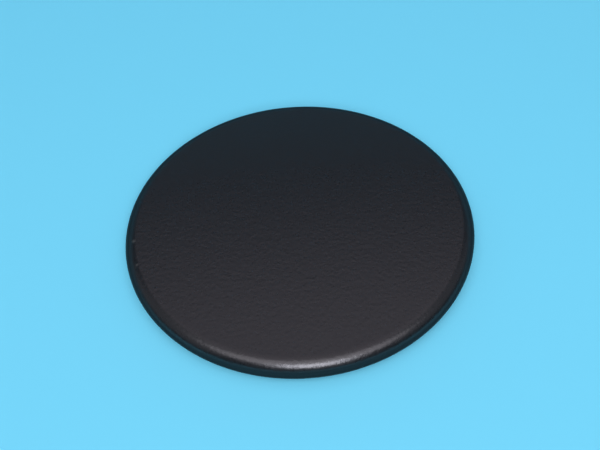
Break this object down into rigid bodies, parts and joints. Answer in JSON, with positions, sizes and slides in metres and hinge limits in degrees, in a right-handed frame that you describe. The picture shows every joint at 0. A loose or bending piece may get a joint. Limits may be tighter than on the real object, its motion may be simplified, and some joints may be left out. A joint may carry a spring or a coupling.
{
  "type": "gas burner cap",
  "caption": "Flat round gas burner cap in matt black enamel, with a full-round rim and a shallow recess underneath that centres it on the burner head.",
  "frame": {"origin": "centre of the cap on the plane of its seating land, the surface that it stands on", "axes": "+Z along the disc's axis, out of the flat top; X and Y are alike, because the cap is round"},
  "size_m": [0.1, 0.1, 0.0072],
  "materials": {
    "black_enamel": "satin"
  },
  "bodies": {
    "root": {"burner_cap": "black_enamel"}
  },
  "joints": []
}
